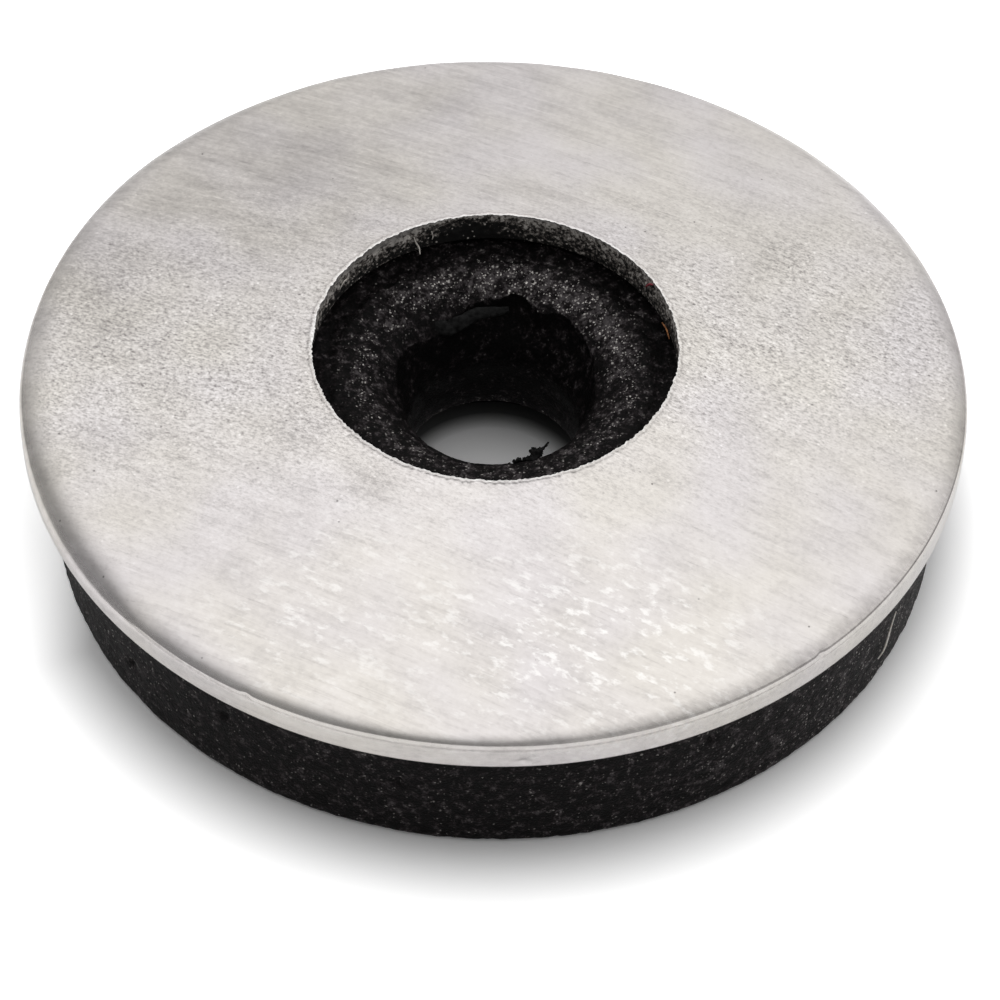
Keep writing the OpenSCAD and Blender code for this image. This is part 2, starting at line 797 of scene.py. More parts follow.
@dataclass(frozen=True)
class SpunLint(Finish):
    """A spun lint fibre: a thin matt thread whose tone changes as it twists."""

    name: str
    pale: str
    shade: str
    roughness: float = 0.8
    twist: float = 0.05

    def surface(self, add: NodeMaker) -> bpy.types.Node:
        """Lays out the nodes.

        Args:
            add: adds a node to the material.

        Returns:
            The shader.
        """
        place = add("TexCoord").outputs["Object"]
        twist = add("TexNoise", {"Vector": place, "Scale": 1 / (self.twist * MM), "Detail": 1.0})
        colour = add("ValToRGB", [twist], {0.3: self.shade, 0.6: self.pale})
        return add("BsdfPrincipled", {"Base Color": colour, "Roughness": self.roughness})


class Lint(Enum):
    """The kinds of lint that cling to the washer."""

    COTTON = SpunLint("cotton_lint_undyed", "#F6F1EA", "#CFC7BC")
    JUTE = SpunLint("jute_lint_brown", "#C98A58", "#7A4A2C")
    DYED = SpunLint("cotton_lint_dyed_red", "#B8505C", "#7A2430")


@dataclass(frozen=True)
class WhitePaper(Finish):
    """Matt white paper over a light table, with painted shadow on it.

    It looks white to the camera, whitest clear of the washer, and keeps the shadow that falls on it. A low
    camera gain near the washer's foot deepens that shadow as painted shadow, and the table is painted
    black from the edge of the hole's floor out under the rubber, as painted shadow.
    """

    name: str = "paper_white_matt"
    white: str = "#F4F4F4"
    hole_shadow: str = "#000000"
    shadow_centre: Place = (0.0, 0.1, 0.0)
    shaded_r: float = 7.75
    white_r: float = 9.5
    shaded_gain: float = 0.15
    white_gain: float = 1.45
    mirror_gain: float = 0.45
    clear_towards: Place = (-0.45, 0.9, 0.0)
    clear_run: Span = (-0.5, 3.0)
    clear_by: float = 2.3
    hole_shadow_run: Span = (1.25, 1.65)
    hole_shadow_share: float = 0.12
    hole_shadow_reach: float = 4.0

    def surface(self, add: NodeMaker) -> bpy.types.Node:
        """Lays out the nodes.

        Args:
            add: adds a node to the material.

        Returns:
            The shader.
        """
        path = add("LightPath").outputs
        mirrored = add("Math", [path["Is Glossy Ray"], path["Is Transmission Ray"]], operation="MAXIMUM")
        mirrored = add("Math", [mirrored, self.mirror_gain], operation="MULTIPLY")
        place = add("TexCoord").outputs["Object"]
        centre = tuple(Vector(self.shadow_centre) * MM)
        apart = add("VectorMath", [place, centre], operation="DISTANCE").outputs["Value"]
        aside = add("VectorMath", [place, self.clear_towards], operation="DOT_PRODUCT").outputs["Value"]
        clear = add("MapRange", [aside, *(at * MM for at in self.clear_run), 0.0, self.clear_by * MM])

        # Painted shadow: the table is dark from the edge of the hole's floor out under the rubber.
        dark = add("MapRange", [apart, *(at * MM for at in self.hole_shadow_run), 1.0, self.hole_shadow_share])
        outside = add("Math", [apart, self.hole_shadow_reach * MM], operation="GREATER_THAN")
        dark = add("Math", [dark, outside], operation="MAXIMUM")

        # The gain grows fast at the washer's foot and then ever slower, so the table near the foot is
        # painted darker, as painted shadow that deepens the real one.
        apart = add("Math", [apart, clear], operation="ADD")
        near = add("MapRange", [apart, self.shaded_r * MM, self.white_r * MM, 1.0, 0.0])
        near = add("Math", [near, near], operation="MULTIPLY")
        seen = add("MapRange", [near, 0.0, 1.0, self.white_gain, self.shaded_gain])
        gain = add("Math", [path["Is Camera Ray"], seen, mirrored], operation="MULTIPLY_ADD")
        gain = add("Math", [gain, dark], operation="MULTIPLY")
        ends = {MIX_FROM: linear(self.hole_shadow), MIX_TO: linear(self.white)}
        white = add("Mix", {"Factor": dark, **ends}, data_type="RGBA")
        return add("AddShader", [add("BsdfDiffuse", [white]), add("BsdfDiffuse", [gain])])


@dataclass
class MetalDisc:
    """The dished disc, with its rolled rim, burred hole and handling marks, painted shade on its face and
    wall, and a painted highlight on its burr.
    """

    sizes: Sizes
    name: str = "metal_disc"
    segments: int = 960
    sharp_deg: float = 50.0
    bond_rows: int = 6
    rows: tuple[tuple[Zone, int], ...] = (
        (Zone.RIM, 22),
        (Zone.ROLL, 16),
        (Zone.FACE, 26),
        (Zone.BURR, 14),
        (Zone.WALL, 12),
    )
    roll_w: Stations = (
        (-95.0, 0.22), (-55.0, 0.36), (-25.0, 0.42), (90.0, 0.42), (150.0, 0.46),
        (182.0, 0.62), (205.0, 0.62), (215.0, 0.58), (228.0, 0.46), (245.0, 0.31),
    )
    roll_h: Stations = (
        (-95.0, 0.062), (-55.0, 0.08), (-25.0, 0.085), (5.0, 0.12), (60.0, 0.20), (90.0, 0.25),
        (120.0, 0.18), (150.0, 0.12), (182.0, 0.18), (205.0, 0.32), (215.0, 0.31), (228.0, 0.17),
        (245.0, 0.095),
    )
    roll_wave: float = 0.05
    roll_wave_size: float = 0.7
    roll_power: float = 2.3
    edge_break: float = 0.03
    corner: Span = (0.03, 0.10)
    score_z: float = 2.80
    score_depth: float = 0.008
    score_w: float = 0.018
    score_deg: float = -98.0
    score_half: float = 75.0
    score_fade: float = 30.0
    score_grime: float = 0.03
    nicks: tuple[Dimple, ...] = (Dimple(-118.1, 2.82), Dimple(-85.7, 2.54), Dimple(-48.6, 2.87))
    nick_depth: float = 0.035
    nick_w: float = 0.07
    face_wave: float = 0.0025
    face_wave_size: float = 0.9
    burr_run: float = 0.18
    burr_h: float = 0.026
    bevel_w: float = 0.042
    bevel_slope: float = 0.34
    lip_w: float = 0.022
    lip_rag: float = 0.028
    lip_rag_sizes: Span = (0.16, 0.055)
    burr_rag_size: float = 0.07
    heavy_blob: Arc = Arc(178.0, 7.0, 0.65)
    heavy_side: Arc = Arc(150.0, 45.0, 0.35)
    heavy_burr_reach: float = 0.05
    near_lip: Arc = Arc(-90.0, 50.0)
    lip_end: float = 0.05
    lip_shine_size: float = 0.06
    lip_shine: float = 0.6
    lip_shine_more: float = 0.4
    lip_shine_below: float = 0.7
    wall_grain: float = 0.03
    wall_grain_size: float = 0.11
    smear: Arc = Arc(99.0, 11.0)
    right_wall: Arc = Arc(45.0, 45.0)
    grime_patch_size: float = 0.16
    grime_base: float = 0.07
    # The foot of the wall is painted darker, partly as painted shade where it meets the rubber.
    grime_and_shade_of_foot: float = 0.85
    grime_of_right: float = 0.30
    grime_of_smear: float = 0.9
    # The rolled edge is darker at these two angles.
    darker_rolls: tuple[Arc, ...] = (Arc(-45.0, 35.0), Arc(110.0, 50.0, 0.5))
    frost_y: float = -0.5
    frost_lean: float = 0.2
    frost_reach: Span = (2.8, 3.2)
    frost_least: float = 0.05
    smudge_patch_size: float = 0.45
    smudges: tuple[Spot, ...] = (
        Spot(-6.49, 0.34, 0.60, 0.45),
        Spot(4.98, 2.57, 0.60, 0.55),
        Spot(-6.21, 4.04, 0.65, 0.2),
        Spot(-1.96, -3.09, 0.40, 0.7),
        Spot(-3.31, -2.12, 0.55, 0.4),
        Spot(-4.85, -0.14, 0.70, 0.25),
        Spot(-3.97, 3.37, 0.50, 0.15),
    )
    # Painted shade: broad darker patches over the back left and the back of the face.
    shade_spots: tuple[Spot, ...] = (
        Spot(-4.0, 4.6, 2.9, 0.76),
        Spot(-7.0, 1.9, 1.2, 0.6),
        Spot(2.2, 6.8, 1.5, 0.3),
        Spot(-0.8, 7.0, 1.5, 0.3),
    )
    burnishes: tuple[Spot, ...] = (
        Spot(0.5, -6.1, 1.9, 0.9),
        Spot(-3.2, -6.0, 1.5, 0.7),
        Spot(2.8, -6.0, 1.7, 0.8),
        Spot(-2.3, -4.2, 1.3, 0.35),
    )

    def profile(self) -> list[ProfilePoint]:
        """Lists the closed outline, from the bond out, up the rim, over the face and down the hole.

        Returns:
            The points of the outline.
        """
        s = self.sizes
        bond = even_steps(s.hole_r, s.metal_r, self.bond_rows)
        points = [ProfilePoint(r, s.bond_z(r), Zone.BOND) for r in bond]
        points.append(ProfilePoint(s.metal_r - self.edge_break, s.rim_z, Zone.BOND))
        for zone, rows in self.rows:
            points += [ProfilePoint(share, 0.0, zone) for share in even_steps(0.0, 1.0, rows)]
        points.append(ProfilePoint(1.0, 0.0, Zone.WALL))
        return points[1:]

    def rolled(self, angle: float) -> Span:
        """Shapes the rolled edge: tight in front, soft on the left and at the back.

        Args:
            angle: degrees around the axis.

        Returns:
            Its width and height in millimetres.
        """
        at = polar(angle, self.sizes.metal_r, 0.0)
        wavy = 1 + self.roll_wave * lumps(at.x, at.y, 5.0, self.roll_wave_size)
        return round_trip(self.roll_w, angle) * wavy, round_trip(self.roll_h, angle) * wavy

    def score(self, z: float, angle: float) -> float:
        """Gives the depth of the fine line under the rolled edge, from 0 to 1, round the front only."""
        front = ease((self.score_half - turn_apart(angle, self.score_deg)) / self.score_fade)
        return front * bell(z - self.score_z, self.score_w)

    def heavy_burr(self, angle: float) -> float:
        """Gives how heavy the burr is, from 0 to 1: it was pushed over on one side of the hole."""
        return min(1.0, self.heavy_side.at(angle) + self.heavy_blob.at(angle))

    def lip_r(self, angle: float) -> float:
        """Shapes the hole's ragged upper edge, pushed in where the burr is heavy.

        Args:
            angle: degrees around the axis.

        Returns:
            Its radius in millimetres.
        """
        at = polar(angle, self.sizes.hole_r, 0.0)
        coarse, fine = self.lip_rag_sizes
        ragged = 0.5 + 0.7 * lumps(at.x, at.y, 2.0, coarse, 2) + 0.7 * lumps(at.x, at.y, 6.0, fine, 2)
        pushed = self.heavy_burr_reach * self.heavy_burr(angle)
        return self.sizes.hole_r - self.lip_rag * max(0.0, ragged) - pushed

    def face_z(self, r: float) -> float:
        """Gives the height of the face, a burr's height below the top of the solid."""
        return self.sizes.bond_z(r) + self.sizes.sheet - self.burr_h

    def burr_z(self, r: float, angle: float) -> float:
        """Shapes the burr: a ridge that slopes out to the face and is bevelled to the hole.

        Args:
            r: the radius in millimetres.
            angle: degrees around the axis.

        Returns:
            The height in millimetres.
        """
        s = self.sizes
        heavy = self.heavy_burr(angle)
        at = polar(angle, s.hole_r + self.burr_run, 0.0)
        ragged = 0.5 + 0.9 * lumps(at.x, at.y, 4.0, self.burr_rag_size, 3)
        crest_r = self.lip_r(angle) + self.bevel_w * (0.5 + 0.8 * ragged + 0.2 * heavy)
        height = self.burr_h * min(1.0, 0.5 + 0.35 * ragged + 0.4 * heavy)
        wide = self.lip_w * (0.7 + 0.5 * ragged + 0.9 * heavy)
        z = self.face_z(max(r, s.hole_r)) + height * bell(max(0.0, r - crest_r), wide)
        return min(s.top_z, z - self.bevel_slope * max(0.0, crest_r - r))

    def edge_relief(self, point: ProfilePoint, angle: float) -> Span:
        """Places a profile point of the sheared rim or the rolled edge.

        Args:
            point: the profile point.
            angle: degrees around the axis.

        Returns:
            The radius and height in millimetres.
        """
        s = self.sizes
        width, height = self.rolled(angle)
        corner_w, corner_h = self.corner
        if point.zone is Zone.ROLL:
            r = s.metal_r - corner_w - (width - corner_w) * point.r
            z = self.face_z(r) + (self.burr_h - height) * (1 - point.r) ** self.roll_power
        else:
            low, high = s.rim_z + self.edge_break, s.rim_z + s.sheet - height
            z = low + (high - low) * point.r
            r = s.metal_r - corner_w * max(0.0, 1 - (high - z) / corner_h) ** 2
        dent = self.score_depth * self.score(z, angle)
        for nick in self.nicks:
            dent += self.nick_depth * bell(nick.apart(angle, s.metal_r, z), self.nick_w)
        return r - dent, z

    def relief(self, point: ProfilePoint, angle: float) -> Span:
        """Places a profile point at an angle.

        Args:
            point: the profile point.
            angle: degrees around the axis.

        Returns:
            The radius and height in millimetres.
        """
        if point.zone is Zone.BOND:
            return point.r, point.z
        if point.zone in (Zone.RIM, Zone.ROLL):
            return self.edge_relief(point, angle)
        s = self.sizes
        cos_a, sin_a = math.cos(math.radians(angle)), math.sin(math.radians(angle))
        outer, inner = s.metal_r - self.rolled(angle)[0], s.hole_r + self.burr_run
        if point.zone is Zone.FACE:
            r = outer + (inner - outer) * point.r
            wave = lumps(r * cos_a, r * sin_a, 0.0, self.face_wave_size)
            return r, self.face_z(r) + self.face_wave * wave
        lip_r = self.lip_r(angle)
        if point.zone is Zone.BURR:
            r = inner + (lip_r - inner) * point.r
            return r, self.burr_z(r, angle)
        lip_z = self.burr_z(lip_r, angle)
        z = lip_z + (s.bond_z(s.hole_r) - lip_z) * point.r
        rough = lumps(s.hole_r * cos_a, s.hole_r * sin_a, z, self.wall_grain_size, 4)
        tuck = ease(point.r * 3.5)
        grain = self.wall_grain * (rough - 0.3) * tuck * (1 - point.r**6)
        return lip_r + (s.hole_r - lip_r) * tuck + grain, z

    def grime(self, at: Painted) -> float:
        """Paints the dirt on the pierced wall, thickest at its foot and its far side, and in the line; at
        the foot it is partly painted shade where the wall meets the rubber.

        Args:
            at: the vertex.

        Returns:
            How thick the dirt and painted shade are, from 0.
        """
        if at.point.zone is Zone.RIM:
            return self.score_grime * self.score(at.z, at.angle)
        down = at.point.r
        if at.point.zone is not Zone.WALL or down < self.lip_end:
            return 0.0
        smeared = self.smear.at(at.angle) * ease(down * 4)
        right = self.right_wall.at(at.angle)
        patchy = 0.35 * lumps(at.x, at.y, at.z, self.grime_patch_size, 3)
        # Painted shade: darker towards the foot, where the wall meets the rubber.
        foot = ease(down * 1.5 - 0.3 + patchy) * (1 - 0.55 * right)
        dirt = self.grime_base + self.grime_and_shade_of_foot * foot
        dirt += self.grime_of_right * right * ease(down * 3)
        return dirt + self.grime_of_smear * smeared

    def smudge(self, at: Painted) -> float:
        """Paints the soft grey smudges of the face, broad painted shade over its back left and back, and
        the rolled edge darker at two angles.

        Args:
            at: the vertex.

        Returns:
            How grey the face is, from 0.
        """
        patchy = 0.8 + 0.6 * lumps(at.x, at.y, 2.0, self.smudge_patch_size, 3)
        smudged_and_shaded = max(0.0, patchy) * sum(spot.at(at.x, at.y) for spot in self.smudges)
        # Painted shade over the back left and the back of the face.
        smudged_and_shaded += sum(shade_spot.at(at.x, at.y) for shade_spot in self.shade_spots)
        if at.point.zone is Zone.ROLL:
            smudged_and_shaded += sum(darker_roll.at(at.angle) for darker_roll in self.darker_rolls) * (1 - ease(at.point.r))
        return smudged_and_shaded

    def burnish(self, at: Painted) -> float:
        """Paints where the face is rubbed bright."""
        return sum(spot.at(at.x, at.y) for spot in self.burnishes)

    def lip(self, at: Painted) -> float:
        """Paints the burr's crest and the top of the wall below it bright, partly rubbed bright steel and
        partly painted highlight.

        Args:
            at: the vertex.

        Returns:
            How bright the crest is, from 0 to 1.
        """
        if at.point.zone is Zone.WALL:
            return self.lip_shine_below if at.point.r < self.lip_end else 0.0
        if at.point.zone is not Zone.BURR:
            return 0.0
        ragged = 0.5 + 1.1 * lumps(at.x, at.y, 7.0, self.lip_shine_size, 2)
        near = self.near_lip.at(at.angle)
        heavy = self.heavy_burr(at.angle)
        heaped = (heavy + 4 * heavy**3) * max(0.2, ragged + 0.3)
        wide = self.lip_w * max(0.1, 0.1 + 1.5 * ragged + 0.9 * near + heaped)
        out = math.hypot(at.x, at.y) - self.lip_r(at.angle)
        shine = self.lip_shine + self.lip_shine_more * max(near, heavy)
        return shine * (1 - ease(out / wide))

    def frost(self, at: Painted) -> float:
        """Paints how much the tumbling dented the face: most across its middle, none on the rim.

        Args:
            at: the vertex.

        Returns:
            How dented the face is, from 0 to 1.
        """
        if at.point.zone is Zone.RIM:
            return 0.0
        across = at.y - self.frost_y - self.frost_lean * max(0.0, at.x)
        front, back = self.frost_reach
        most = 1 - self.frost_least
        frosted = self.frost_least + most * bell(across, front if across < 0 else back)
        return frosted * ease(at.point.r) if at.point.zone is Zone.ROLL else frosted

    def shear(self, at: Painted) -> float:
        """Paints the sheared edge, which is smoother than the face.

        Args:
            at: the vertex.

        Returns:
            How smooth the metal is, from 0 to 1.
        """
        if at.point.zone is Zone.ROLL:
            return 1 - ease(at.point.r * 1.6)
        return 1.0 if at.point.zone is Zone.RIM else 0.0

    def build(self) -> bpy.types.Object:
        """Makes and dresses the disc.

        Returns:
            The disc, which stands for the solid.
        """
        masks = {
            Mask.GRIME_AND_SHADE: self.grime,
            Mask.SMUDGE_AND_SHADE: self.smudge,
            Mask.BURNISH: self.burnish,
            Mask.LIP_HIGHLIGHT: self.lip,
            Mask.FROST: self.frost,
            Mask.SHEAR: self.shear,
        }
        disc = turned_mesh(self.name, self.profile(), self.segments, self.relief, masks, self.sharp_deg)
        disc.data.materials.append(ColdRolledStainless().build())
        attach(disc, "root")
        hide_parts("metal_washer")
        return disc


@dataclass
class RubberRing:
    """The bonded ring, with its gritty flank, its funnel and the torn edge of its throat."""

    sizes: Sizes
    name: str = "rubber_ring"
    segments: int = 640
    sharp_deg: float = 75.0
    base_rows: int = 22
    corner_rows: int = 5
    flank_rows: int = 36
    bond_rows: int = 8
    funnel_rows: int = 38
    throat_rows: int = 22
    brink: tuple[float, ...] = (0.985, 1.0)
    torn_lip: tuple[float, ...] = (0.008, 0.02)
    throat_start: float = 0.05
    mouth: Stations = (
        (1.45, 0.90), (1.46, 0.75), (1.48, 0.62), (1.52, 0.55), (1.62, 0.51), (1.78, 0.46), (1.92, 0.38),
        (1.99, 0.26), (2.00, 0.12),
    )
    mouth_r: float = 2.0
    mouth_grain: float = 0.015
    mouth_grain_size: float = 0.3
    edge_r: float = 0.12
    base_grain: float = 0.012
    base_grain_size: float = 0.4
    flank_grain: float = 0.013
    flank_grain_size: float = 0.13
    flank_wave_size: float = 0.6
    flank_pits: tuple[Dimple, ...] = (
        Dimple(-123.2, 1.46), Dimple(-100.2, 1.39), Dimple(-62.0, 1.7), Dimple(-140.0, 0.9),
    )
    pit_depth: float = 0.09
    pit_w: float = 0.09
    inset: Arc = Arc(180.0, 60.0, 0.13)
    funnel_grain: float = 0.03
    funnel_lump_size: float = 0.34
    funnel_fine_size: float = 0.10
    lumpy_side: Arc = Arc(145.0, 50.0)
    moat: float = 0.12
    moat_r: float = 2.93
    moat_w: float = 0.24
    moat_wave_size: float = 0.9
    brow_r: float = 2.25
    brow_w: float = 0.32
    torn_grain: float = 0.018
    torn_rag_sizes: Span = (0.20, 0.06)
    torn_run: float = 0.62
    throat_grain: float = 0.03
    throat_grain_size: float = 0.35
    funnel_filler: float = 0.47
    # The brow gets more filler as painted highlight, and the throat less as painted shade.
    brow_base: float = 0.12
    brow_highlight: float = 0.95
    throat_shade: float = -0.2
    mouth_base: float = 0.1
    mouth_filler: float = 0.7
    mouth_band_z: float = 0.58
    mouth_band_w: float = 0.08
    flank_filler: float = 0.18
    # Painted highlight: more filler where the light falls on the funnel, the throat and the flanks.
    lit_funnel: Arc = Arc(60.0, 65.0, 0.53)
    lit_throat: Arc = Arc(40.0, 40.0, 0.28)
    lit_flanks: tuple[Arc, ...] = (Arc(-25.0, 35.0, 0.30), Arc(205.0, 30.0, 0.12))
    torn_edge: Stations = (
        (-165.0, 1.57), (-144.0, 1.65), (-122.5, 1.79), (-102.0, 1.92), (-86.0, 1.90), (-62.5, 1.90),
        (-50.5, 1.87), (-31.0, 1.71), (-11.0, 1.72), (8.0, 1.73), (27.0, 1.83), (43.0, 1.91), (53.0, 1.96),
        (65.5, 1.85), (70.0, 1.92), (80.0, 2.04), (92.0, 1.93), (102.0, 1.88), (113.0, 1.70), (124.0, 1.63),
        (138.0, 1.66), (148.0, 1.73), (163.0, 1.72),
    )

    def profile(self) -> list[ProfilePoint]:
        """Lists the closed outline, from the mouth out, up the flank, under the metal and down the hole.

        Returns:
            The points of the outline.
        """
        s = self.sizes
        edge = self.edge_r
        foot_r = s.seal_r - edge
        points = [ProfilePoint(r, 0.0, Zone.BASE) for r in even_steps(self.mouth_r, foot_r, self.base_rows)]
        for turn in even_steps(0.0, math.pi / 2, self.corner_rows):
            corner = (s.seal_r - edge * (1 - math.sin(turn)), edge * (1 - math.cos(turn)))
            points.append(ProfilePoint(*corner, Zone.FLANK))
        flank = even_steps(edge, s.bond_z(s.seal_r), self.flank_rows)
        points += [ProfilePoint(s.seal_r, z, Zone.FLANK) for z in flank]
        bond = even_steps(s.seal_r, s.hole_r, self.bond_rows)
        points += [ProfilePoint(r, s.bond_z(r), Zone.BOND) for r in bond]
        funnel = [*even_steps(0.0, self.brink[0], self.funnel_rows), *self.brink]
        points += [ProfilePoint(share, 0.0, Zone.FUNNEL) for share in funnel]
        throat = [*self.torn_lip, *even_steps(self.throat_start, 1.0, self.throat_rows)]
        points += [ProfilePoint(share, 0.0, Zone.THROAT) for share in throat]
        points += [ProfilePoint(r, z, Zone.FLARE) for r, z in self.mouth]
        return points

    def torn_place(self, angle: float) -> Span:
        """Gives how far round its curve the funnel goes before it tears, and the torn radius.

        Args:
            angle: degrees around the axis.

        Returns:
            The turn along the funnel's quarter curve in radians, and the radius in millimetres.
        """
        s = self.sizes
        smooth = round_trip(self.torn_edge, angle)
        at = polar(angle, smooth, 0.0)
        coarse, fine = self.torn_rag_sizes
        ragged = lumps(at.x, at.y, 0.0, coarse, 2) + 0.9 * lumps(at.x, at.y, 3.0, fine, 2)
        r = smooth + self.torn_grain * ragged
        return math.asin(min(1.0, (s.hole_r - r) / (s.hole_r - s.throat_r))), r

    def flank_relief(self, point: ProfilePoint, angle: float) -> Span:
        """Places a profile point of the flank.

        Args:
            point: the profile point.
            angle: degrees around the axis.

        Returns:
            The radius and height in millimetres.
        """
        at = polar(angle, point.r, point.z)
        wave = 0.6 * lumps(at.x, at.y, at.z + 9, self.flank_wave_size)
        grain = lumps(*at, self.flank_grain_size, 3) + wave
        pit = sum(bell(pit.apart(angle, point.r, point.z), self.pit_w) for pit in self.flank_pits)
        r = point.r - self.inset.at(angle) + self.flank_grain * (grain - 1) - self.pit_depth * pit
        return r, point.z

    def funnel_relief(self, share: float, turn: float, angle: float) -> Span:
        """Places a profile point of the funnel.

        Args:
            share: how far along the funnel the point is, from 0 to 1.
            turn: where the funnel tears, in radians along its quarter curve.
            angle: degrees around the axis.

        Returns:
            The radius and height in millimetres.
        """
        s = self.sizes
        top = s.bond_z(s.hole_r)
        lean = turn * share
        r = s.hole_r - (s.hole_r - s.throat_r) * math.sin(lean)
        z = top - (top - s.throat_high) * (1 - math.cos(lean))
        at = polar(angle, r, z)
        fine = 0.6 * lumps(at.x, at.y, at.z + 5, self.funnel_fine_size)
        grain = lumps(*at, self.funnel_lump_size, 3) + fine
        lumpy = 1 + self.lumpy_side.at(angle)
        push = self.funnel_grain * lumpy * grain * ease(share * 5)
        uneven = 0.85 + 0.5 * lumps(at.x, at.y, 8.0, self.moat_wave_size)
        push -= self.moat * uneven * bell(max(0.0, self.moat_r - r), self.moat_w)
        return r + push * math.sin(lean) * 0.6, z + push * math.cos(lean)

    def relief(self, point: ProfilePoint, angle: float) -> Span:
        """Places a profile point at an angle.

        Args:
            point: the profile point.
            angle: degrees around the axis.

        Returns:
            The radius and height in millimetres.
        """
        s = self.sizes
        at = polar(angle, point.r, point.z)
        if point.zone is Zone.BOND:
            return point.r, point.z
        if point.zone is Zone.BASE:
            return point.r, self.base_grain * max(0.0, lumps(at.x, at.y, 0.0, self.base_grain_size))
        if point.zone is Zone.FLANK:
            return self.flank_relief(point, angle)
        if point.zone is Zone.FLARE:
            return point.r + self.mouth_grain * lumps(*at, self.mouth_grain_size, 3), point.z
        turn, torn_r = self.torn_place(angle)
        if point.zone is Zone.FUNNEL:
            return self.funnel_relief(point.r, turn, angle)
        top = s.bond_z(s.hole_r)
        torn_z = top - (top - s.throat_high) * (1 - math.cos(turn))
        z = torn_z + (s.throat_low - torn_z) * point.r
        r = s.throat_r + (torn_r - s.throat_r) * (1 - ease(point.r / self.torn_run))
        at = polar(angle, r, z)
        return r + self.throat_grain * lumps(*at, self.throat_grain_size, 3) * ease(point.r * 4), z

    def filler(self, at: Painted) -> float:
        """Paints the share of cells that show pale filler: most on the lit brow and the lit sides, where it
        is painted highlight, and least down the throat, where it is painted shade.

        Args:
            at: the vertex.

        Returns:
            The share, which is none below 0.
        """
        if at.point.zone is Zone.FUNNEL:
            # Painted highlight on the lit brow and side of the funnel.
            lit = self.funnel_filler + self.lit_funnel.at(at.angle)
            brow = bell(math.hypot(at.x, at.y) - self.brow_r, self.brow_w)
            return lit * (self.brow_base + self.brow_highlight * brow)
        if at.point.zone is Zone.THROAT:
            return self.throat_shade + self.lit_throat.at(at.angle)
        if at.point.zone is Zone.FLARE:
            band = bell(at.point.z - self.mouth_band_z, self.mouth_band_w)
            return self.mouth_base + self.mouth_filler * band
        return self.flank_filler + sum(lit.at(at.angle) for lit in self.lit_flanks)

    def build(self) -> bpy.types.Object:
        """Makes and dresses the ring.

        Returns:
            The ring, which stands for the solid.
        """
        masks = {Mask.FILLER_AND_LIGHT: self.filler}
        ring = turned_mesh(self.name, self.profile(), self.segments, self.relief, masks, self.sharp_deg)
        ring.data.materials.append(VulcanisedRubber().build())
        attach(ring, "root")
        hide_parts("rubber_seal")
        return ring


